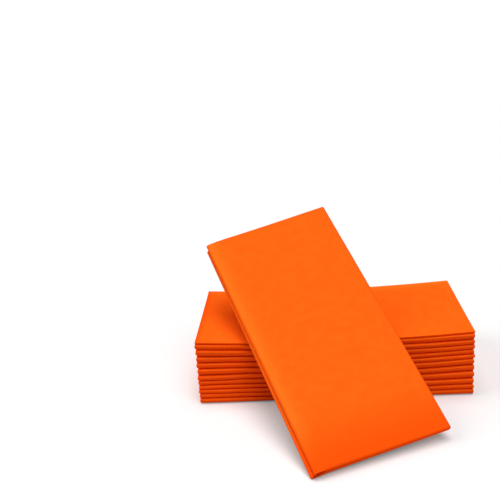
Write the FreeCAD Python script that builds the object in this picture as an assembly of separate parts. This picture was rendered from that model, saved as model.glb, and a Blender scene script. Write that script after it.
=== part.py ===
import FreeCAD, Part
import math
import os

# A stack of folded paper napkins, with one more napkin leaning on its front edge.
# X runs along the long side of the stack, the closed spines face the front (-Y), Z is up.
# The origin is the middle of the stack's footprint on the table. All sizes are in millimetres.

# The sheet is square. It is folded in half, then both sides go in to the middle, then it shuts
# like a book, which leaves a packet of eight plies, half as long and a quarter as deep as the sheet.
SHEET_SIDE = 400.0
NAPKIN_LENGTH = SHEET_SIDE / 2
NAPKIN_DEPTH = SHEET_SIDE / 4

# Pressed thickness of each napkin of the stack at its left and at its right end, from the bottom up
LEFT_THICKNESS = (4.3, 4.0, 3.3, 3.3, 4.0, 4.1, 5.6, 4.9, 4.9, 5.6, 4.7, 2.2)
RIGHT_THICKNESS = (4.4, 4.0, 4.8, 5.6, 4.9, 5.5, 3.4, 3.3, 4.1, 4.0, 4.8, 2.2)

STACK_SAG = 3.0           # how far the top of the stack dips between its two ends
STACK_CLEARANCE = 0.1     # between one napkin of the stack and the next
STACK_SHIFT = 0.2         # how far a napkin lies off the middle of the stack, at most
STACK_WANDER = (2.4, 1.7)  # radians from one napkin to the next, in the waves that shift them in X and Y
STACK_SPANS = 5           # straight stretches that a napkin's length is built from

PAIRS = 4                 # pairs of plies from the bottom of a folded napkin to its top
PLY_GAP = 0.05            # air on each side of a pair of plies in a pressed napkin
MIDDLE_GAP = 0.1          # air between the two halves of the book fold
FLAP_STOP = 1.5           # from the inside of the spine to the flaps that were folded in
END_ROUND = 0.8           # how far from a short end its edges begin to round off
END_TAPER = 0.28          # share of a pair of plies that the rounding takes off each of its faces

# The leaning napkin. Its spine is its right long side and rests on the stack, its left long side
# is the open one, and its lower left corner stands on the table.
LEAN_SLOPE = 32.0         # degrees that its long side rises from the table
LEAN_TURN = 25.9          # degrees that its long side is turned to the left, seen from above
LEAN_LIFT = 4.0           # how much higher its lower right corner is than its lower left one
LEAN_TWIST = 9.4          # degrees that its head is turned against its foot
LEAN_TOUCH_X = 43.4       # where its spine crosses the stack's front edge
LEAN_CLEARANCE = 0.15     # between its spine and the stack
LEAN_SPINE_THICKNESS = 4.6
LEAN_FOOT_THICKNESS = 7.5  # of the open side, at the lower end
LEAN_HEAD_THICKNESS = 8.2  # of the open side, at the upper end
LEAN_MOUTH = 0.5          # between the two halves at the open side
LEAN_FOOT_SLIP = 1.6      # how far its lower half shows past the upper one, at the lower end
LEAN_HEAD_SLIP = 0.7      # the same at the upper end
LEAN_SPANS = 4

# Straight steps that a bend of half a turn is made of
SPINE_STEPS = 8
HOLLOW_STEPS = 4
LIP_STEPS = 6
EYE_STEPS = 2


def blend(first, last, share):
    """The value that lies a share of the way from the first to the last."""
    return first + (last - first) * share


def bend_points(axis, radius, first, last, steps):
    """Points round a bend, from the first to the last angle in degrees, in equal steps."""
    angles = [math.radians(blend(first, last, step / steps)) for step in range(steps + 1)]
    return [(axis[0] + radius * math.cos(angle), axis[1] + radius * math.sin(angle)) for angle in angles]


def folded_section(place, spine_faces, lip_faces, pair, mouth, slip, inset):
    """The closed outline of a folded napkin, cut across its length.

    The outline is one band, a pair of plies thick: from the loose edge of the lower flap out to
    the lower lip, round it and back along the bottom, round the spine, out along the top, round
    the upper lip and back in to the loose edge of the upper flap. place turns a distance from the
    spine and a height into a point. spine_faces and lip_faces are the heights of the bottom and
    the top at either side, mouth is the gap between the lips, slip is how far the lower lip stands
    out past the upper one, and inset draws the skin in.
    """
    band = pair - 2 * inset
    spine = (spine_faces[1] - spine_faces[0]) / 2 - inset
    spine_axis = (inset + spine, (spine_faces[0] + spine_faces[1]) / 2)
    lip_gap, flap_gap = mouth / 2 + inset, MIDDLE_GAP / 2 + inset
    lip_middle = (lip_faces[0] + lip_faces[1]) / 2
    lip = (lip_faces[1] - lip_middle - inset - lip_gap) / 2
    turn = NAPKIN_DEPTH - inset - lip
    flap_edge = spine_axis[0] + FLAP_STOP
    share = FLAP_STOP / (turn - spine_axis[0])
    flap_middle = blend(spine_axis[1], lip_middle, share)
    flap_inside = blend(flap_gap, lip_gap, share)

    def curled_in(side):
        """The lip and the flap of the upper (side 1) or lower (side -1) half, from the outside in."""
        axis = (turn + (slip if side < 0 else 0.0), lip_middle + side * (lip_gap + lip))
        outside = bend_points(axis, lip, 90 * side, -90 * side, LIP_STEPS)
        inside = bend_points(axis, lip - band, -90 * side, 90 * side, EYE_STEPS)
        loose_edge = [(flap_edge, flap_middle + side * (flap_inside + depth)) for depth in (0.0, band)]
        return outside + loose_edge + inside

    outline = bend_points(spine_axis, spine, 270, 90, SPINE_STEPS) + curled_in(1)
    outline += bend_points(spine_axis, spine - band, 90, 270, HOLLOW_STEPS) + curled_in(-1)[::-1]
    points = [place(depth, height) for depth, height in outline]
    return Part.makePolygon(points + points[:1])


def folded_solid(sections):
    """The solid through the sections, with its flat faces on planes, joined where they share one."""
    faces = []
    for face in Part.makeLoft(sections, True, True).Faces:
        if face.findPlane():
            corners = [vertex.Point for vertex in face.OuterWire.OrderedVertexes]
            face = Part.Face(Part.makePolygon(corners + corners[:1]))
        faces.append(face)
    shell = Part.makeShell(faces)
    shell.sewShape()
    return Part.makeSolid(shell).removeSplitter()


def pair_thickness(thickness):
    """Thickness of a pair of plies in a napkin of a given pressed thickness."""
    return (thickness - MIDDLE_GAP) / PAIRS - PLY_GAP


def stations(length, spans):
    """Distances from one short end to the other, each with the share of the rounding it has."""
    inner = length - 2 * END_ROUND
    evenly = [(END_ROUND + inner * step / spans, 0.0) for step in range(spans + 1)]
    return [(0.0, 1.0)] + evenly + [(length, 1.0)]


def face_heights(x):
    """Height of the faces between the napkins at x, from the table to the top of the stack."""
    share = x / NAPKIN_LENGTH + 0.5
    heights = [0.0]
    for left, right in zip(LEFT_THICKNESS, RIGHT_THICKNESS):
        heights.append(heights[-1] + blend(left, right, share))
    dip = STACK_SAG * (1 - (2 * x / NAPKIN_LENGTH) ** 2) / heights[-1]
    return [height * (1 - dip) for height in heights]


def stack_shift(index):
    """How far napkin number index lies off the middle of the stack, along X and along Y."""
    return STACK_SHIFT * math.sin(STACK_WANDER[0] * index), STACK_SHIFT * math.cos(STACK_WANDER[1] * index)


def stack_napkin_faces(index, x):
    """The bottom and the top height of napkin number index at x."""
    heights = face_heights(x)
    low = heights[index] + (STACK_CLEARANCE if index else 0.0)
    return low, heights[index + 1]


def stack_napkin(index):
    """One napkin of the stack, the bottom one being number 0."""
    shift_x, shift_y = stack_shift(index)
    sections = []
    for along, rounding in stations(NAPKIN_LENGTH, STACK_SPANS):
        x = along - NAPKIN_LENGTH / 2
        faces = stack_napkin_faces(index, x)
        pair = pair_thickness(faces[1] - faces[0])

        def place(depth, height):
            return FreeCAD.Vector(x + shift_x, depth - NAPKIN_DEPTH / 2 + shift_y, height)

        sections.append(
            folded_section(place, faces, faces, pair, MIDDLE_GAP, 0.0, rounding * END_TAPER * pair))
    return folded_solid(sections)


def lean_directions(along):
    """Directions of the leaning napkin: along its length, from left to right, and out of its top."""
    slope, turn = math.radians(LEAN_SLOPE), math.radians(LEAN_TURN)
    length = FreeCAD.Vector(
        -math.sin(turn) * math.cos(slope), math.cos(turn) * math.cos(slope), math.sin(slope))
    level = FreeCAD.Vector(math.cos(turn), math.sin(turn), 0)
    upward = level.cross(length)
    roll = math.asin(LEAN_LIFT / NAPKIN_DEPTH / math.cos(slope))
    roll += math.radians(LEAN_TWIST) * along / NAPKIN_LENGTH
    across = level * math.cos(roll) + upward * math.sin(roll)
    return length, across, across.cross(length)


def lean_thickness(along):
    """Thickness of the leaning napkin's open side at a distance from its foot."""
    return blend(LEAN_FOOT_THICKNESS, LEAN_HEAD_THICKNESS, along / NAPKIN_LENGTH)


def lean_slip(along):
    """How far the lower half shows past the upper one at a distance from the foot."""
    return blend(LEAN_FOOT_SLIP, LEAN_HEAD_SLIP, along / NAPKIN_LENGTH)


def lean_spine_axis(along):
    """Centre of the leaning napkin's rounded spine, from the middle of its lower edge."""
    length, across, out = lean_directions(along)
    radius = LEAN_SPINE_THICKNESS / 2
    return length * along + across * (NAPKIN_DEPTH / 2 - radius) - out * radius


def lean_foot():
    """Middle of the leaning napkin's lower edge, on its top face.

    Its lower lip touches the table. Its spine touches the rounded front edge of the stack's top
    napkin: there the two axes are their two radii and the clearance apart.
    """
    length, across, out = lean_directions(0.0)
    lip = (LEAN_FOOT_THICKNESS - LEAN_MOUTH) / PAIRS
    lip_axis = across * (lip - NAPKIN_DEPTH / 2 - LEAN_FOOT_SLIP) + out * (lip - LEAN_FOOT_THICKNESS)
    drop = math.hypot(across.z, out.z)
    rounded = lip_axis.z - (lip - END_TAPER * pair_thickness(LEAN_SPINE_THICKNESS)) * drop
    full = lip_axis.z + END_ROUND * length.z - lip * drop
    foot_z = -min(rounded, full)

    low, high = stack_napkin_faces(len(LEFT_THICKNESS) - 1, LEAN_TOUCH_X)
    edge = (high - low) / 2
    edge_y = stack_shift(len(LEFT_THICKNESS) - 1)[1] - NAPKIN_DEPTH / 2 + edge
    spine = (lean_spine_axis(NAPKIN_LENGTH) - lean_spine_axis(0.0)).normalize()
    normal = FreeCAD.Vector(1, 0, 0).cross(spine).normalize()
    apart = edge + LEAN_CLEARANCE + LEAN_SPINE_THICKNESS / 2
    touch = FreeCAD.Vector(LEAN_TOUCH_X, edge_y, high - edge) + normal * apart
    start = lean_spine_axis(0.0)
    reach = (touch.z - foot_z - start.z) / spine.z
    foot = touch - spine * reach - start
    return FreeCAD.Vector(foot.x, foot.y, foot_z)


def leaning_napkin():
    """The napkin that leans on the stack: a thin spine, a puffed open side and a slight twist."""
    foot = lean_foot()
    pair = pair_thickness(LEAN_SPINE_THICKNESS)
    sections = []
    for along, rounding in stations(NAPKIN_LENGTH, LEAN_SPANS):
        length, across, out = lean_directions(along)
        corner = foot + length * along + across * (NAPKIN_DEPTH / 2)

        def place(depth, height):
            return corner - across * depth + out * height

        sections.append(folded_section(
            place, (-LEAN_SPINE_THICKNESS, 0.0), (-lean_thickness(along), 0.0),
            pair, LEAN_MOUTH, lean_slip(along), rounding * END_TAPER * pair))
    return folded_solid(sections)


def main():
    os.makedirs("parts", exist_ok=True)
    pieces = {f"napkin_{index + 1:02d}": stack_napkin(index) for index in range(len(LEFT_THICKNESS))}
    pieces["leaning_napkin"] = leaning_napkin()
    for name, shape in pieces.items():
        solid = shape.Solids[0]
        solid.exportStep(f"parts/{name}.step")
        box = solid.BoundBox
        print(
            f"{name}: valid {solid.isValid()}, {solid.Volume / 1000:.2f} cm3, "
            f"x {box.XMin:.2f} to {box.XMax:.2f}, y {box.YMin:.2f} to {box.YMax:.2f}, "
            f"z {box.ZMin:.2f} to {box.ZMax:.2f}")


main()
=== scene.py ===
"""A stack of folded paper napkins, with one more napkin leaning on its front edge.

Every napkin is one square sheet. It is folded in half, then both sides go in to the middle, then it
shuts like a book. Its surface is worked out from two numbers, the way along the sheet and the way
across it, and closed at its four cut edges. All sizes are in metres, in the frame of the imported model:
X along the stack, the closed spines at the front (-Y), Z up.
"""
import math

import bpy
import numpy as np
from mathutils import Matrix, Vector


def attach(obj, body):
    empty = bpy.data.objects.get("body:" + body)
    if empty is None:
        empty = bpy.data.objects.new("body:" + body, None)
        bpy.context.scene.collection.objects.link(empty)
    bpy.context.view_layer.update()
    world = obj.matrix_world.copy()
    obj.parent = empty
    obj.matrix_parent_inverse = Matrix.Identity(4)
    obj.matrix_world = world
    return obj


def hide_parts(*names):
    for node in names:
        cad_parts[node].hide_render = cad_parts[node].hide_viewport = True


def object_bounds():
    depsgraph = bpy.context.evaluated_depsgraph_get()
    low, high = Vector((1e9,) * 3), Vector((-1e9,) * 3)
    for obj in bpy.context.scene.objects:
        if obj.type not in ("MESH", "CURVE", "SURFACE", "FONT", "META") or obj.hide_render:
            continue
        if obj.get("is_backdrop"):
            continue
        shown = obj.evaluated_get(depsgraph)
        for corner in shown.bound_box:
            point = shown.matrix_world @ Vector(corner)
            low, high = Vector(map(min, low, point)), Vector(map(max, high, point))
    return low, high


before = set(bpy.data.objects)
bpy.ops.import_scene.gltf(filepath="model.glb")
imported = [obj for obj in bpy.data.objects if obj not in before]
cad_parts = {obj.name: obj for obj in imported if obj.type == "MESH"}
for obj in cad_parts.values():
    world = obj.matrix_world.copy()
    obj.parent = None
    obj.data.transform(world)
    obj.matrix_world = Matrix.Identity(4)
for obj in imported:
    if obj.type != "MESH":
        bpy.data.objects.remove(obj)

bl_info = {
    "name": "Paper napkin stack",
    "version": (1, 0, 0),
    "blender": (4, 5, 0),
    "location": "3D View > Sidebar > Napkins",
    "description": "Folded paper napkins in a stack, with one leaning on it, and a stage to see them on",
    "category": "Add Mesh",
}

CAD_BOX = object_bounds()
MM = 0.001
STACK_NODES = sorted(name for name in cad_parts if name.startswith("napkin_"))
LEANING_NODE = "leaning_napkin"
PAPER_MATERIAL = "dyed_tissue"
BODY = "root"

FLAP, LIP, PANEL, SPINE = range(4)
COLUMN_STEPS = ((SPINE, 7), (PANEL, 16), (LIP, 8), (FLAP, 9))   # from the middle of the spine outwards
PLY_STEPS = 60         # along one ply, from the fold to the open end
HAIRPIN_STEPS = 10     # round the first fold
CREEP = 1.35           # power that draws the steps along a ply towards the fold
HUMP_POWER = 8         # how close to the open side the hump of a panel lies
RIDGE_SET_BACK = 0.4   # of the ridges' wave, so that few of them stand out past the stack's front
LEANING_PHASE = 5.0    # start of the waves in the leaning napkin's loose edges
SHARP_ANGLE = math.radians(55)
FLOOR_WHITE = 1.02     # what the open floor shows, just past white so that no grain is left


class PaperSizes(bpy.types.PropertyGroup):
    """The sheet that every napkin is folded from, and its colour."""

    sheet_side: bpy.props.FloatProperty(
        name="Sheet side", description="Side of the square sheet before it is folded",
        default=0.4, min=0.1, max=0.8, unit="LENGTH")
    ply_fill: bpy.props.FloatProperty(
        name="Ply fill", description="Share of the room of a pair of plies that each ply fills",
        default=0.44, min=0.1, max=0.5, subtype="FACTOR")
    ply_gap: bpy.props.FloatProperty(
        name="Ply gap", description="Air on each side of a pair of plies in a pressed napkin",
        default=0.05 * MM, min=0.0, max=MM, unit="LENGTH")
    middle_gap: bpy.props.FloatProperty(
        name="Middle gap", description="Air between the two halves of the book fold",
        default=0.1 * MM, min=0.0, max=MM, unit="LENGTH")
    flap_stop: bpy.props.FloatProperty(
        name="Flap stop", description="From the middle of the spine to the flaps that were folded in",
        default=1.5 * MM, min=0.0, max=0.02, unit="LENGTH")
    tuck: bpy.props.FloatProperty(
        name="Tuck", description="How far the flaps stay back from the short end that was folded first",
        default=4.0 * MM, min=0.0, max=0.02, unit="LENGTH")
    tuck_reach: bpy.props.FloatProperty(
        name="Tuck reach", description="Way from the folded long side over which the tuck begins",
        default=9.0 * MM, min=MM, max=0.03, unit="LENGTH")
    loose_edges: bpy.props.FloatProperty(
        name="Loose edges", description="How unevenly the plies end at the short end that lies open",
        default=0.45 * MM, min=0.0, max=0.004, unit="LENGTH")
    colour: bpy.props.FloatVectorProperty(
        name="Colour", description="Colour of the dyed paper",
        default=(0.985, 0.138, 0.008), min=0.0, max=1.0, subtype="COLOR", size=3)
    deep_colour: bpy.props.FloatVectorProperty(
        name="Deep colour", description="Colour where the fibres lie closer together",
        default=(0.95, 0.108, 0.005), min=0.0, max=1.0, subtype="COLOR", size=3)
    # Painted shade: a deeper red along the folds, from the middle of each spine down, where the grooves lie
    # in shade.
    fold_shade_colour: bpy.props.FloatVectorProperty(
        name="Fold colour", description="Colour along a fold, where light passes through more paper",
        default=(0.985, 0.084, 0.003), min=0.0, max=1.0, subtype="COLOR", size=3)
    # Painted highlight: a paler orange beside the open side, where the bulging edge catches more light.
    swell_colour: bpy.props.FloatVectorProperty(
        name="Swell colour", description="Colour beside the open side, where the sheet bulges",
        default=(0.985, 0.162, 0.011), min=0.0, max=1.0, subtype="COLOR", size=3)
    # Painted highlight: the paler band beside the open side fades out over this way.
    swell_reach: bpy.props.FloatProperty(
        name="Swell reach", description="Way from the open side over which its colour fades out",
        default=11.0 * MM, min=MM, max=0.05, unit="LENGTH")
    # Painted shade: the deeper red of the folds fades out over this way.
    fold_shade_reach: bpy.props.FloatProperty(
        name="Fold reach", description="Way from a fold over which its colour fades out",
        default=4.0 * MM, min=MM, max=0.03, unit="LENGTH")


class StackSizes(bpy.types.PropertyGroup):
    """The stack of pressed napkins."""

    left_thickness: bpy.props.FloatVectorProperty(
        name="Left thickness", description="Thickness of each napkin at its left end, bottom to top",
        default=[t * MM for t in (4.3, 4.0, 3.3, 3.3, 4.0, 4.1, 5.6, 4.9, 4.9, 5.6, 4.7, 2.2)],
        size=len(STACK_NODES), unit="LENGTH")
    right_thickness: bpy.props.FloatVectorProperty(
        name="Right thickness", description="Thickness of each napkin at its right end, bottom to top",
        default=[t * MM for t in (4.4, 4.0, 4.8, 5.6, 4.9, 5.5, 3.4, 3.3, 4.1, 4.0, 4.8, 2.2)],
        size=len(STACK_NODES), unit="LENGTH")
    sag: bpy.props.FloatProperty(
        name="Sag", description="How far the top of the stack dips between its two ends",
        default=3.0 * MM, min=0.0, max=0.02, unit="LENGTH")
    clearance: bpy.props.FloatProperty(
        name="Clearance", description="Air between one napkin and the next",
        default=0.1 * MM, min=0.0, max=MM, unit="LENGTH")
    shift: bpy.props.FloatProperty(
        name="Shift", description="How far a napkin lies off the middle of the stack, at most",
        default=0.2 * MM, min=0.0, max=0.01, unit="LENGTH")
    wander: bpy.props.FloatVectorProperty(
        name="Wander", description="Turn from one napkin to the next in the waves that shift them",
        default=(2.4, 1.7), size=2, subtype="EULER")
    ridge_reach: bpy.props.FloatProperty(
        name="Ridge reach", description="Way from the front of a spine over which its shaping fades out",
        default=12.0 * MM, min=MM, max=0.05, unit="LENGTH")
    ridge_tuck: bpy.props.FloatProperty(
        name="Ridge tuck", description="How far a spine leans back at the bottom, as a share of its height",
        default=0.6, min=0.0, max=1.0, subtype="FACTOR")
    ridge_press: bpy.props.FloatProperty(
        name="Ridge press", description="How far a spine is pressed flat, where 0 leaves it half round",
        default=0.45, min=0.0, max=1.0, subtype="FACTOR")
    ridge_wave: bpy.props.FloatProperty(
        name="Ridge wave", description="How far a spine wavers in and out and up and down",
        default=0.2 * MM, min=0.0, max=0.002, unit="LENGTH")


class LeanSizes(bpy.types.PropertyGroup):
    """The napkin that leans on the stack, spine to the right and open side to the left."""

    foot_place: bpy.props.FloatVectorProperty(
        name="Foot place", description="Middle of its lower edge, on its top face",
        default=(27.777 * MM, -127.498 * MM, 8.14 * MM), size=3, subtype="TRANSLATION", unit="LENGTH")
    slope: bpy.props.FloatProperty(
        name="Slope", description="How steeply its long side rises from the table",
        default=math.radians(32.0), subtype="ANGLE", unit="ROTATION")
    turn: bpy.props.FloatProperty(
        name="Turn", description="How far its long side is turned to the left, seen from above",
        default=math.radians(25.9), subtype="ANGLE", unit="ROTATION")
    lift: bpy.props.FloatProperty(
        name="Lift", description="How much higher its lower right corner is than its lower left one",
        default=4.0 * MM, min=0.0, max=0.05, unit="LENGTH")
    twist: bpy.props.FloatProperty(
        name="Twist", description="How far its head is turned against its foot",
        default=math.radians(9.4), subtype="ANGLE", unit="ROTATION")
    spine_thickness: bpy.props.FloatProperty(
        name="Spine thickness", description="Its thickness along the spine",
        default=4.6 * MM, min=MM, max=0.02, unit="LENGTH")
    foot_thickness: bpy.props.FloatProperty(
        name="Foot thickness", description="Thickness of its open side at the lower end",
        default=7.5 * MM, min=MM, max=0.02, unit="LENGTH")
    head_thickness: bpy.props.FloatProperty(
        name="Head thickness", description="Thickness of its open side at the upper end",
        default=8.2 * MM, min=MM, max=0.02, unit="LENGTH")
    mouth: bpy.props.FloatProperty(
        name="Mouth", description="Air between its two halves at the open side",
        default=0.5 * MM, min=0.0, max=0.01, unit="LENGTH")
    foot_slip: bpy.props.FloatProperty(
        name="Foot slip", description="How far its lower half shows past the upper one at the lower end",
        default=1.6 * MM, min=0.0, max=0.01, unit="LENGTH")
    head_slip: bpy.props.FloatProperty(
        name="Head slip", description="How far its lower half shows past the upper one at the upper end",
        default=0.7 * MM, min=0.0, max=0.01, unit="LENGTH")
    slip_back: bpy.props.FloatProperty(
        name="Slip back", description="How far the lower half stays back from the head",
        default=2.2 * MM, min=0.0, max=0.01, unit="LENGTH")
    hump: bpy.props.FloatProperty(
        name="Hump", description="How far its top face swells up just before the open side",
        default=0.7 * MM, min=0.0, max=0.004, unit="LENGTH")
    # Painted shade: the fold colour darkens the lower end of the leaning napkin, fading out over this way.
    foot_shade_reach: bpy.props.FloatProperty(
        name="Foot reach", description="Way from its lower end over which the fold's colour fades out",
        default=42.0 * MM, min=MM, max=0.1, unit="LENGTH")


class StageSizes(bpy.types.PropertyGroup):
    """Camera, light, floor and background."""

    camera_place: bpy.props.FloatVectorProperty(
        name="Camera place", description="Where the camera stands",
        default=(-0.01824, -0.53635, 0.28189), size=3, subtype="TRANSLATION", unit="LENGTH")
    camera_yaw: bpy.props.FloatProperty(
        name="Camera yaw", description="How far the camera looks to the right of +Y",
        default=-0.07475, subtype="ANGLE", unit="ROTATION")
    camera_pitch: bpy.props.FloatProperty(
        name="Camera pitch", description="How far the camera looks down",
        default=0.32161, subtype="ANGLE", unit="ROTATION")
    camera_roll: bpy.props.FloatProperty(
        name="Camera roll", description="Turn of the camera about its own line of sight",
        default=-0.07274, subtype="ANGLE", unit="ROTATION")
    camera_lens: bpy.props.FloatProperty(
        name="Camera lens", description="Focal length in millimetres, on a sensor 36 mm wide",
        default=53.604, min=10.0, max=200.0)
    side_direction: bpy.props.FloatVectorProperty(
        name="Side direction", description="Direction from the napkins to the lamp at the side",
        default=(-0.766, 0.0, 0.643), size=3, subtype="XYZ")
    side_level: bpy.props.FloatProperty(
        name="Side level", description="What the side lamp gives a surface that faces it; 1 is white",
        default=0.34, min=0.0, max=2.0)
    front_direction: bpy.props.FloatVectorProperty(
        name="Front direction", description="Direction from the napkins to the lamp at the front",
        default=(0.25, -0.48, 0.84), size=3, subtype="XYZ")
    front_level: bpy.props.FloatProperty(
        name="Front level", description="What the front lamp gives a surface that faces it; 1 is white",
        default=0.42, min=0.0, max=2.0)
    top_level: bpy.props.FloatProperty(
        name="Top level", description="What the lamp overhead gives a surface that faces it; 1 is white",
        default=0.48, min=0.0, max=2.0)
    lamp_spread: bpy.props.FloatProperty(
        name="Lamp spread", description="Angle that each soft lamp fills, seen from the napkins",
        default=math.radians(40), subtype="ANGLE", unit="ROTATION")
    room_level: bpy.props.FloatProperty(
        name="Room level", description="What the pale room gives from all round; 1 is white",
        default=0.14, min=0.0, max=1.0)
    floor_side: bpy.props.FloatProperty(
        name="Floor side", description="Side of the square floor",
        default=12.0, min=1.0, max=50.0, unit="LENGTH")
    floor_bounce: bpy.props.FloatProperty(
        name="Floor bounce", description="Share of the light that the floor gives back to the napkins",
        default=0.68, min=0.0, max=1.0, subtype="FACTOR")
    floor_shade: bpy.props.FloatVectorProperty(
        name="Floor shade", description="Colour that a full shadow takes away from the white floor",
        default=(0.97, 0.85, 0.85), min=0.0, max=1.0, subtype="COLOR", size=3)


class Maths:
    """A number that a material works out on its surface, written as a Python expression."""

    def __init__(self, graph, socket):
        self.graph, self.socket = graph, socket

    def _with(self, operation, first, second):
        return self.graph.add("ShaderNodeMath", {"operation": operation}, {0: first, 1: second})

    def __add__(self, other):
        return self._with("ADD", self, other)

    def __sub__(self, other):
        return self._with("SUBTRACT", self, other)

    def __rsub__(self, other):
        return self._with("SUBTRACT", other, self)

    def __mul__(self, other):
        return self._with("MULTIPLY", self, other)

    __radd__, __rmul__ = __add__, __mul__


class Graph:
    """The nodes of one material or of the world."""

    def __init__(self, owner):
        owner.use_nodes = True
        self.tree = owner.node_tree
        self.tree.nodes.clear()

    def add(self, kind, settings=None, sockets=None, output=0):
        """A node of a kind, its settings made first, then the values or links of its sockets."""
        node = self.tree.nodes.new(kind)
        for name, value in (settings or {}).items():
            setattr(node, name, value)
        for name, value in (sockets or {}).items():
            if isinstance(value, Maths):
                self.tree.links.new(value.socket, node.inputs[name])
            else:
                node.inputs[name].default_value = value
        return Maths(self, node.outputs[output]) if node.outputs else node

    def seen(self):
        """1 for a ray that shows a surface in the picture, straight or by a mirror image, else 0."""
        path = self.add("ShaderNodeLightPath")
        ways = [Maths(self, path.socket.node.outputs[name]) for name in (
            "Is Camera Ray", "Is Glossy Ray", "Is Transmission Ray")]
        return self.add(
            "ShaderNodeMath", {"operation": "ADD", "use_clamp": True},
            {0: ways[0] + ways[1], 1: ways[2]})

    def mix_colours(self, share, first, second):
        """The first colour, and the second where share is 1."""
        factor, colour_a, colour_b, result = 0, 6, 7, 2
        return self.add(
            "ShaderNodeMix", {"data_type": "RGBA"},
            {factor: share, colour_a: first, colour_b: second}, result)


def paper_material(paper):
    """Matt dyed tissue: faint cloudy mottling, and fine fibres that lie mostly one way.

    Painted shade: the fold colour along the folds. Painted highlight: a paler colour beside the open side.
    """
    material = bpy.data.materials.new(PAPER_MATERIAL)
    graph = Graph(material)
    sheet = graph.add("ShaderNodeUVMap", {"uv_map": "sheet"})
    fibre_place = graph.add("ShaderNodeMapping", {}, {"Vector": sheet, "Scale": (1.0, 2.6, 1.0)})
    cloud = graph.add("ShaderNodeTexNoise", {}, {"Vector": sheet, "Scale": 160.0, "Detail": 4.0})
    fibre = graph.add(
        "ShaderNodeTexNoise", {},
        {"Vector": fibre_place, "Scale": 900.0, "Detail": 3.0, "Roughness": 0.6})
    cloud_weight, fibre_weight = 1.6, 1.1
    share = (cloud - 0.5) * cloud_weight + (fibre - 0.5) * fibre_weight + 0.5
    # Shares of painted shade along the folds and of painted highlight beside the open side.
    fold, swell = (
        graph.add("ShaderNodeAttribute", {"attribute_name": name}, output="Fac")
        for name in ("fold", "swell"))
    mottled = graph.mix_colours(share, (*paper.colour, 1.0), (*paper.deep_colour, 1.0))
    # Painted highlight: paler orange beside the open side.
    highlight_share = swell * (1.2 - 0.5 * share)   # less where the mottling is deep
    swelled = graph.mix_colours(highlight_share, mottled, (*paper.swell_colour, 1.0))
    # Painted shade: the fold colour darkens the lower halves of the spines and the leaning napkin's foot.
    colour = graph.mix_colours(fold, swelled, (*paper.fold_shade_colour, 1.0))
    relief = fibre * 0.7 + cloud * 0.6
    bump = graph.add(
        "ShaderNodeBump", {}, {"Strength": 0.6, "Distance": 0.15 * MM, "Height": relief})
    shader = graph.add(
        "ShaderNodeBsdfPrincipled", {},
        {"Base Color": colour, "Roughness": 0.86 + 0.1 * share, "Normal": bump,
         "Specular IOR Level": 0.0})
    graph.add("ShaderNodeOutputMaterial", {}, {"Surface": shader})
    return material


def blend(first, last, share):
    """The value that lies a share of the way from the first to the last."""
    return first + (last - first) * share


def ease(share):
    """A share that starts and ends gently: 3 s squared minus 2 s cubed, held between 0 and 1."""
    share = np.clip(share, 0.0, 1.0)
    return share * share * (3 - 2 * share)


def columns():
    """What each column of the grid lies on, from the loose edge of the lower flap to the upper one.

    Returns the kind of stretch, the side (-1 below, 1 above) and the share of the stretch, which
    grows from the middle of the spine outwards on either side.
    """
    kinds, shares = [SPINE], [0.0]
    for kind, steps in COLUMN_STEPS:
        kinds += [kind] * steps
        shares += list(np.arange(1, steps + 1) / steps)
    kinds, shares = np.array(kinds), np.array(shares)
    long = (kinds == PANEL) | (kinds == FLAP)
    shares[long] = 0.5 - 0.5 * np.cos(math.pi * shares[long])
    side = np.concatenate([-np.ones(len(kinds) - 1), np.ones(len(kinds))])
    return np.concatenate([kinds[:0:-1], kinds]), side, np.concatenate([shares[:0:-1], shares])


def rows():
    """The way of each row along a ply, from 0 at the fold to 1, and its turn round the fold.

    The outer ply comes in from the open end with no turn, the hairpin turns half a turn, and the
    inner ply goes out again.
    """
    ply = (np.arange(PLY_STEPS + 1) / PLY_STEPS) ** CREEP
    bend = np.arange(1, HAIRPIN_STEPS) / HAIRPIN_STEPS * math.pi
    way = np.concatenate([ply[::-1], np.zeros(len(bend)), ply])
    turn = np.concatenate([np.zeros(len(ply)), bend, np.full(len(ply), math.pi)])
    return way[:, None], turn[:, None]


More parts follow.
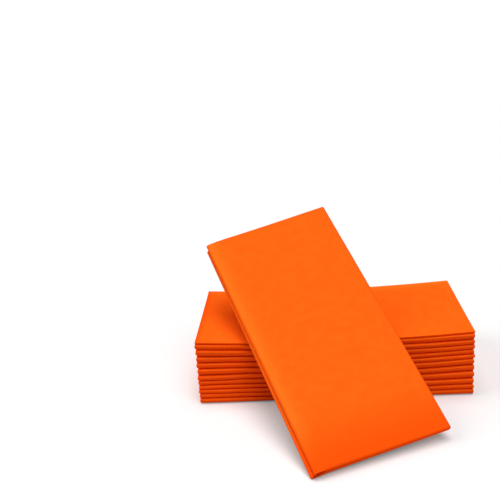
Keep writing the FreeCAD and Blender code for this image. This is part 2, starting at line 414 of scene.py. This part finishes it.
def section(kinds, side, shares, size, flap_stop):
    """Middle of the pair of plies, and the direction out of it, across a folded napkin.

    The spine is half a circle about its axis. A panel runs from it to the lip, straight but for a hump:
    a high power of the way out, times the way that is left, times what makes its top 1. The lip goes on
    from the hump's slope round a circle, and the flap runs straight in again. size holds, for each
    point, the heights of the faces at the spine and at the lip, the pair's thickness, the mouth, the
    gap of the book fold, the depth and the hump.
    """
    spine = (size["spine_high"] - size["spine_low"]) / 2
    spine_middle = (size["spine_high"] + size["spine_low"]) / 2
    lip_middle = (size["lip_high"] + size["lip_low"]) / 2
    half_pair, half_mouth = size["pair"] / 2, size["mouth"] / 2
    lip = (size["lip_high"] - lip_middle - half_mouth) / 2
    turn = size["depth"] - lip
    power = HUMP_POWER
    hump = np.where(side > 0, size["hump"], 0.0) * (power + 1) ** (power + 1) / power ** power
    slope = np.arctan(hump * ((power + 1) * shares - power) * shares ** (power - 1) / (turn - spine))
    lip_start = math.pi / 2 - np.arctan(hump / (turn - spine))
    flap_edge = spine + flap_stop
    stop_share = flap_stop / (turn - spine)
    flap_height = (
        blend(spine_middle, lip_middle, stop_share)
        + side * (blend(size["gap"] / 2, half_mouth, stop_share) + half_pair))

    angle = np.select(
        [kinds == SPINE, kinds == PANEL, kinds == LIP],
        [math.pi - side * shares * math.pi / 2, side * (math.pi / 2 - slope),
         side * (lip_start - shares * (lip_start + math.pi / 2))],
        -side * math.pi / 2)
    out = np.stack([np.cos(angle), np.sin(angle)], axis=-1)

    lip_axis = lip_middle + side * (half_mouth + lip)
    panel_end = turn + (lip - half_pair) * np.cos(lip_start)
    panel_in = spine_middle + side * (spine - half_pair)
    panel_out = lip_axis + side * (lip - half_pair) * np.sin(lip_start)
    flap_out = lip_middle + side * (half_mouth + half_pair)
    depth = np.select(
        [kinds == SPINE, kinds == PANEL, kinds == LIP],
        [spine + (spine - half_pair) * out[..., 0], blend(spine, panel_end, shares),
         turn + (lip - half_pair) * out[..., 0]],
        blend(turn, flap_edge, shares))
    height = np.select(
        [kinds == SPINE, kinds == PANEL, kinds == LIP],
        [spine_middle + (spine - half_pair) * out[..., 1],
         blend(panel_in, panel_out, shares) + side * hump * (1 - shares) * shares ** power,
         lip_axis + (lip - half_pair) * out[..., 1]],
        blend(flap_out, flap_height, shares))
    way_out = np.select([kinds == SPINE, kinds == PANEL], [0.0, shares], 1.0)
    return depth, height, out, blend(spine / 2, lip, way_out)


def folded_sheet(paper, sizes_at, place, phase, shade_end_reach):
    """Both faces of the folded sheet as grids of points, each point's place on the sheet, and its tones.

    A face lies at the middle of the pair plus an offset along the direction out of it. Along the
    napkin the offset follows a hairpin: out for the outer ply, half a circle at the fold, in for
    the inner ply. On the panels the half circle is as large as the lips, so it also covers the
    flaps, which stay back: going in from a lip, the flaps go back over the first half of the tuck's
    reach, and the half circle grows over the second half. Past the half circle the inner ply settles
    against the outer one again. The loose ends waver by two sines of unlike length. sizes_at gives
    the section's sizes at a distance from the fold, and place turns distance, depth and height into
    points. The shares from 0 to 1 are painted light. Fold, a painted shade, is 1 on the first fold, fading
    over the end's reach, and from the middle of the spine down. The other, a painted highlight, is 1 where
    a panel meets the lip.
    """
    kinds, side, shares = columns()
    way, turn = rows()
    length, depth = paper.sheet_side / 2, paper.sheet_side / 4
    size = sizes_at(np.zeros((1, len(kinds))))
    pair = size["pair"]
    ply = pair * paper.ply_fill
    room = section(kinds, side, shares, size, paper.flap_stop)[3]

    reach = paper.tuck_reach / depth
    lip_way = np.where(kinds == PANEL, 1 - shares, np.where(kinds == SPINE, 1.0, 0.0)) / reach
    flap_in = np.where(kinds == FLAP, shares, 0.0) / reach
    bulge = ease(lip_way * 2 - 1)
    back = paper.tuck * ease(flap_in * 2)
    hairpin = blend(pair / 4, np.maximum(room - ply / 2, pair / 4), bulge)

    across = paper.sheet_side * np.linspace(0, 1, len(kinds))
    uneven = [
        paper.loose_edges * (0.5 + 0.5 * np.sin(phase * 3.1 + across * wave + start))
        for wave, start in ((23.0, 0.0), (31.0, 2.0))]
    end = length - np.where(turn < math.pi / 2, uneven[0], uneven[1])

    faces = []
    for offset in (ply / 2, -ply / 2):
        radius = hairpin + offset
        first = back + hairpin + ply / 2
        along = np.where(
            way > 0, blend(first, end, way), first - radius * np.sin(turn) + 0 * end)
        swing = pair / 4 - hairpin + radius * np.cos(turn)
        inner = turn > math.pi - 1e-6
        settle = ease((along - first) / (3 * hairpin))
        swing = swing + np.where(inner, (2 * hairpin - pair / 2) * settle, 0.0)
        size = sizes_at(along)
        middle_depth, middle_height, out, _ = section(kinds, side, shares, size, paper.flap_stop)
        swing = swing * size["pair"] / pair
        faces.append(place(
            along, middle_depth + swing * out[..., 0], middle_height + swing * out[..., 1], side))
    sheet_way = np.where(turn < math.pi / 2, 0.5 - way / 2, 0.5 + way / 2) * paper.sheet_side
    place_on_sheet = np.stack(np.broadcast_arrays(sheet_way, across[None, :]), axis=-1)
    # Painted light: ways from the spine and from the lip that place the painted shade and the painted
    # highlight.
    from_spine = np.select([kinds == SPINE, kinds == PANEL], [0.0, shares], 1.0) * depth
    from_spine += np.where(side > 0, np.where(kinds == SPINE, shares, 1.0), 0.0) * paper.fold_shade_reach
    from_lip = np.where(kinds == PANEL, 1 - shares, 1.0) * depth
    painted_light = {
        "fold": ease(1 - np.minimum(from_spine / paper.fold_shade_reach, way * length / shade_end_reach)),
        "swell": ease(1 - from_lip / paper.swell_reach) + 0 * way}
    return faces, place_on_sheet, painted_light


def closed_sheet(name, faces, place_on_sheet, painted_light, material):
    """A closed mesh of the two face grids and a strip along their cut edges, with its tones.

    The outer grid's quads run so that their normals point out of the sheet, the inner grid's run
    the other way, and the strip joins the rings of points round the two grids.
    """
    count_u, count_v = faces[0].shape[:2]
    index = np.arange(count_u * count_v).reshape(count_u, count_v)
    inner = index + index.size
    outer_quads = np.stack([index[:-1, :-1], index[:-1, 1:], index[1:, 1:], index[1:, :-1]], axis=-1)
    inner_quads = np.stack([inner[:-1, :-1], inner[1:, :-1], inner[1:, 1:], inner[:-1, 1:]], axis=-1)
    ring = np.concatenate([index[0, :-1], index[:-1, -1], index[-1, :0:-1], index[:0:-1, 0]])
    after = np.roll(ring, -1)
    strip = np.stack([after, ring, ring + index.size, after + index.size], axis=-1)
    quads = np.concatenate([outer_quads.reshape(-1, 4), inner_quads.reshape(-1, 4), strip])
    points = np.concatenate([face.reshape(-1, 3) for face in faces])

    mesh = bpy.data.meshes.new(name)
    mesh.from_pydata(points.tolist(), [], quads.tolist())
    layer = mesh.uv_layers.new(name="sheet")
    on_sheet = np.concatenate([place_on_sheet.reshape(-1, 2)] * 2)
    layer.data.foreach_set("uv", on_sheet[quads.ravel()].ravel())
    # Painted shade and painted highlight shares, kept on the mesh for the paper's colour.
    for painted_mark, shares in painted_light.items():
        mesh.attributes.new(painted_mark, "FLOAT", "POINT").data.foreach_set("value", np.tile(shares.ravel(), 2))
    mesh.shade_smooth()
    mesh.set_sharp_from_angle(angle=SHARP_ANGLE)
    mesh.materials.append(material)
    mesh.validate()
    piece = bpy.data.objects.new(name, mesh)
    bpy.context.scene.collection.objects.link(piece)
    return piece


def declare(piece, node):
    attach(piece, BODY)
    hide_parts(node)


def waver(way, phase):
    """A gentle wave along a napkin: three sines of unlike length, between -1 and 1."""
    return (
        0.5 * np.sin(way * 58.0 + phase) + 0.3 * np.sin(way * 121.0 + 2.3 * phase)
        + 0.2 * np.sin(way * 212.0 + 4.1 * phase))


def stack_faces(stack, paper, x):
    """Height of the faces between the napkins at x, from the table to the top of the stack.

    The thicknesses are blended from the left end to the right end and added up, a parabola takes
    the sag off, and each inner face wavers a little.
    """
    share = x / (paper.sheet_side / 2) + 0.5
    heights = [np.zeros_like(x)]
    for left, right in zip(stack.left_thickness, stack.right_thickness):
        heights.append(heights[-1] + blend(left, right, share))
    dip = stack.sag * (1 - (2 * share - 1) ** 2) / heights[-1]
    heights = [height * (1 - dip) for height in heights]
    return [
        height + (stack.ridge_wave * waver(x, 1.9 * number) if 0 < number < len(heights) - 1 else 0.0)
        for number, height in enumerate(heights)]


def stacked_napkin(index, stack, paper, material):
    """One pressed napkin of the stack, the bottom one being number 0.

    Near the front its spine is pressed flat, set back further down, and wavers in and out.
    """
    half_length, depth = paper.sheet_side / 4, paper.sheet_side / 4
    shift_x = stack.shift * math.sin(stack.wander[0] * index)
    shift_y = stack.shift * math.cos(stack.wander[1] * index)

    def sizes_at(along):
        faces = stack_faces(stack, paper, along - half_length)
        low = faces[index] + (stack.clearance if index else 0.0)
        high = faces[index + 1]
        pair = (high - low - paper.middle_gap) / 4 - paper.ply_gap
        return {
            "spine_low": low, "spine_high": high, "lip_low": low, "lip_high": high, "pair": pair,
            "mouth": paper.middle_gap, "gap": paper.middle_gap, "depth": depth, "hump": 0.0}

    def place(along, across, height, side):
        size = sizes_at(along)
        above_middle = height - (size["spine_low"] + size["spine_high"]) / 2
        near_spine = ease(1 - across / stack.ridge_reach)
        pressed = np.minimum(across, (size["spine_high"] - size["spine_low"]) / 2)
        tuck = (
            stack.ridge_tuck * above_middle + stack.ridge_press * pressed
            + stack.ridge_wave * (waver(along, 2.7 * index) + RIDGE_SET_BACK))
        waved = across - tuck * near_spine
        return np.stack(
            [along - half_length + shift_x, waved - depth / 2 + shift_y, height], axis=-1)

    faces, on_sheet, painted_light = folded_sheet(paper, sizes_at, place, index, paper.fold_shade_reach)
    name = STACK_NODES[index] + "_sheet"
    return closed_sheet(name, faces, on_sheet + index * paper.sheet_side, painted_light, material)


def leaning_napkin(lean, paper, material):
    """The napkin that leans on the stack.

    Its long direction is fixed. The direction from its left to its right side turns about it, by
    the roll that the lift asks for at the foot, plus the twist's share further up. Its lower half
    shows past the upper one at the left, and stays back from the head over the last sixth.
    """
    length, depth = paper.sheet_side / 2, paper.sheet_side / 4
    along_it = np.array([
        -math.sin(lean.turn) * math.cos(lean.slope), math.cos(lean.turn) * math.cos(lean.slope),
        math.sin(lean.slope)])
    level = np.array([math.cos(lean.turn), math.sin(lean.turn), 0.0])
    upward = np.cross(level, along_it)
    first_roll = math.asin(lean.lift / depth / math.cos(lean.slope))
    pair = (lean.spine_thickness - paper.middle_gap) / 4 - paper.ply_gap

    def sizes_at(along):
        zero = np.zeros_like(along)
        return {
            "spine_low": zero - lean.spine_thickness, "spine_high": zero,
            "lip_low": -blend(lean.foot_thickness, lean.head_thickness, along / length),
            "lip_high": zero, "pair": zero + pair, "mouth": lean.mouth, "gap": paper.middle_gap,
            "depth": depth, "hump": lean.hump}

    def place(along, across, height, side):
        lower = 0.5 - 0.5 * side
        slip = blend(lean.foot_slip, lean.head_slip, along / length)
        roll = first_roll + lean.twist * along / length
        sideways = level * np.cos(roll)[..., None] + upward * np.sin(roll)[..., None]
        out = np.cross(sideways, along_it)
        across = across * (1 + lower * slip / depth)
        along = along - lean.slip_back * lower * (across / depth) * ease(along / length * 6 - 5)
        return (
            np.array(lean.foot_place) + along_it * along[..., None]
            + sideways * (depth / 2 - across)[..., None] + out * height[..., None])

    faces, on_sheet, painted_light = folded_sheet(paper, sizes_at, place, LEANING_PHASE, lean.foot_shade_reach)
    name = LEANING_NODE + "_sheet"
    return closed_sheet(name, faces, on_sheet - paper.sheet_side, painted_light, material)


def lamp_rows(stage):
    """Name, direction and level of the three lamps."""
    return (
        ("side_lamp", Vector(stage.side_direction).normalized(), stage.side_level),
        ("front_lamp", Vector(stage.front_direction).normalized(), stage.front_level),
        ("top_lamp", Vector((0.0, 0.0, 1.0)), stage.top_level))


def stage_material(stage):
    """Plain white floor. In the picture it is white with pale shadows, and it gives back less light.

    What it shows is a part that the light makes and a part that is always there. The first is
    scaled by the light on the open floor, so that the two add up to white there.
    """
    material = bpy.data.materials.new("floor_white")
    graph = Graph(material)
    seen = graph.seen()
    light = stage.room_level + sum(level * direction.z for _, direction, level in lamp_rows(stage))
    dim = (stage.floor_bounce,) * 3 + (1.0,)
    lit = tuple(level / light for level in stage.floor_shade) + (1.0,)
    rest = tuple(FLOOR_WHITE - level for level in stage.floor_shade) + (1.0,)
    shaded = graph.add("ShaderNodeBsdfDiffuse", {}, {"Color": graph.mix_colours(seen, dim, lit)})
    even = graph.add("ShaderNodeEmission", {}, {"Color": rest, "Strength": seen})
    shader = graph.add("ShaderNodeAddShader", {}, {0: shaded, 1: even})
    graph.add("ShaderNodeOutputMaterial", {}, {"Surface": shader})
    return material


def stage_floor(stage):
    """A large square on the table's level."""
    half = stage.floor_side / 2
    mesh = bpy.data.meshes.new("floor")
    corners = [(-half, -half, 0.0), (half, -half, 0.0), (half, half, 0.0), (-half, half, 0.0)]
    mesh.from_pydata(corners, [], [(0, 1, 2, 3)])
    mesh.materials.append(stage_material(stage))
    floor = bpy.data.objects.new("floor", mesh)
    bpy.context.scene.collection.objects.link(floor)
    floor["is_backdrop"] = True


def stage_world(stage):
    """A pale room: white where the camera sees it, and a soft even light on the napkins."""
    world = bpy.data.worlds.new("pale_room")
    graph = Graph(world)
    level = stage.room_level + (1 - stage.room_level) * graph.seen()
    light = graph.add("ShaderNodeBackground", {}, {"Color": (1.0, 1.0, 1.0, 1.0), "Strength": level})
    graph.add("ShaderNodeOutputWorld", {}, {"Surface": light})
    bpy.context.scene.world = world


def stage_lamps(stage):
    """Three wide soft lamps far away: one low at the side, one at the front and one overhead."""
    for name, direction, level in lamp_rows(stage):
        lamp = bpy.data.lights.new(name, "SUN")
        lamp.energy, lamp.angle = level * math.pi, stage.lamp_spread
        holder = bpy.data.objects.new(name, lamp)
        bpy.context.scene.collection.objects.link(holder)
        holder.rotation_mode = "QUATERNION"
        holder.rotation_quaternion = direction.to_track_quat("Z", "Y")


def stage_camera(stage):
    """The camera, from its place and from yaw, pitch and roll."""
    yaw, pitch, roll = stage.camera_yaw, stage.camera_pitch, stage.camera_roll
    ahead = np.array([
        math.sin(yaw) * math.cos(pitch), math.cos(yaw) * math.cos(pitch), -math.sin(pitch)])
    level = np.array([math.cos(yaw), -math.sin(yaw), 0.0])
    upright = np.cross(level, ahead)
    right = math.cos(roll) * level + math.sin(roll) * upright
    up = math.cos(roll) * upright - math.sin(roll) * level
    camera = bpy.data.cameras.new("camera")
    camera.sensor_width, camera.lens = 36.0, stage.camera_lens
    camera.clip_start, camera.clip_end = 0.01, 100.0
    holder = bpy.data.objects.new("camera", camera)
    bpy.context.scene.collection.objects.link(holder)
    matrix = np.identity(4)
    matrix[:3, 0], matrix[:3, 1], matrix[:3, 2], matrix[:3, 3] = right, up, -ahead, stage.camera_place
    holder.matrix_world = Matrix(matrix.tolist())
    bpy.context.scene.camera = holder


class NAPKINS_OT_stack(bpy.types.Operator):
    """Make the stack of pressed napkins"""

    bl_idname = "napkins.stack"
    bl_label = "Stacked napkins"

    def execute(self, context):
        scene = context.scene
        material = bpy.data.materials.get(PAPER_MATERIAL) or paper_material(scene.napkin_paper)
        for index, node in enumerate(STACK_NODES):
            piece = stacked_napkin(index, scene.napkin_stack, scene.napkin_paper, material)
            declare(piece, node)
        return {"FINISHED"}


class NAPKINS_OT_leaning(bpy.types.Operator):
    """Make the napkin that leans on the stack"""

    bl_idname = "napkins.leaning"
    bl_label = "Leaning napkin"

    def execute(self, context):
        scene = context.scene
        material = bpy.data.materials.get(PAPER_MATERIAL) or paper_material(scene.napkin_paper)
        piece = leaning_napkin(scene.napkin_lean, scene.napkin_paper, material)
        declare(piece, LEANING_NODE)
        return {"FINISHED"}


class NAPKINS_OT_stage(bpy.types.Operator):
    """Make the floor, the room, the lamps and the camera"""

    bl_idname = "napkins.stage"
    bl_label = "Stage"

    def execute(self, context):
        stage = context.scene.napkin_stage
        stage_floor(stage)
        stage_world(stage)
        stage_lamps(stage)
        stage_camera(stage)
        context.scene.view_settings.view_transform = "Standard"
        return {"FINISHED"}


class NAPKINS_PT_panel(bpy.types.Panel):
    """Lists the napkins and the stage, each with its sizes"""

    bl_idname = "NAPKINS_PT_panel"
    bl_label = "Paper napkins"
    bl_space_type = "VIEW_3D"
    bl_region_type = "UI"
    bl_category = "Napkins"

    def draw(self, context):
        scene = context.scene
        for group, operator in (
                (scene.napkin_paper, None), (scene.napkin_stack, NAPKINS_OT_stack),
                (scene.napkin_lean, NAPKINS_OT_leaning), (scene.napkin_stage, NAPKINS_OT_stage)):
            box = self.layout.box()
            for name in group.__annotations__:
                box.prop(group, name)
            if operator:
                box.operator(operator.bl_idname)


CLASSES = (
    PaperSizes, StackSizes, LeanSizes, StageSizes,
    NAPKINS_OT_stack, NAPKINS_OT_leaning, NAPKINS_OT_stage, NAPKINS_PT_panel)
GROUPS = {
    "napkin_paper": PaperSizes, "napkin_stack": StackSizes, "napkin_lean": LeanSizes,
    "napkin_stage": StageSizes}


def register():
    for cls in CLASSES:
        bpy.utils.register_class(cls)
    for name, group in GROUPS.items():
        setattr(bpy.types.Scene, name, bpy.props.PointerProperty(type=group))


def unregister():
    for name in GROUPS:
        delattr(bpy.types.Scene, name)
    for cls in reversed(CLASSES):
        bpy.utils.unregister_class(cls)


def main():
    register()
    bpy.ops.napkins.stage()
    bpy.ops.napkins.stack()
    bpy.ops.napkins.leaning()
    boxes = {"cad": CAD_BOX, "visual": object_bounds()}
    {name: [list(corner) for corner in box] for name, box in boxes.items()}


if __name__ == "__main__":
    main()
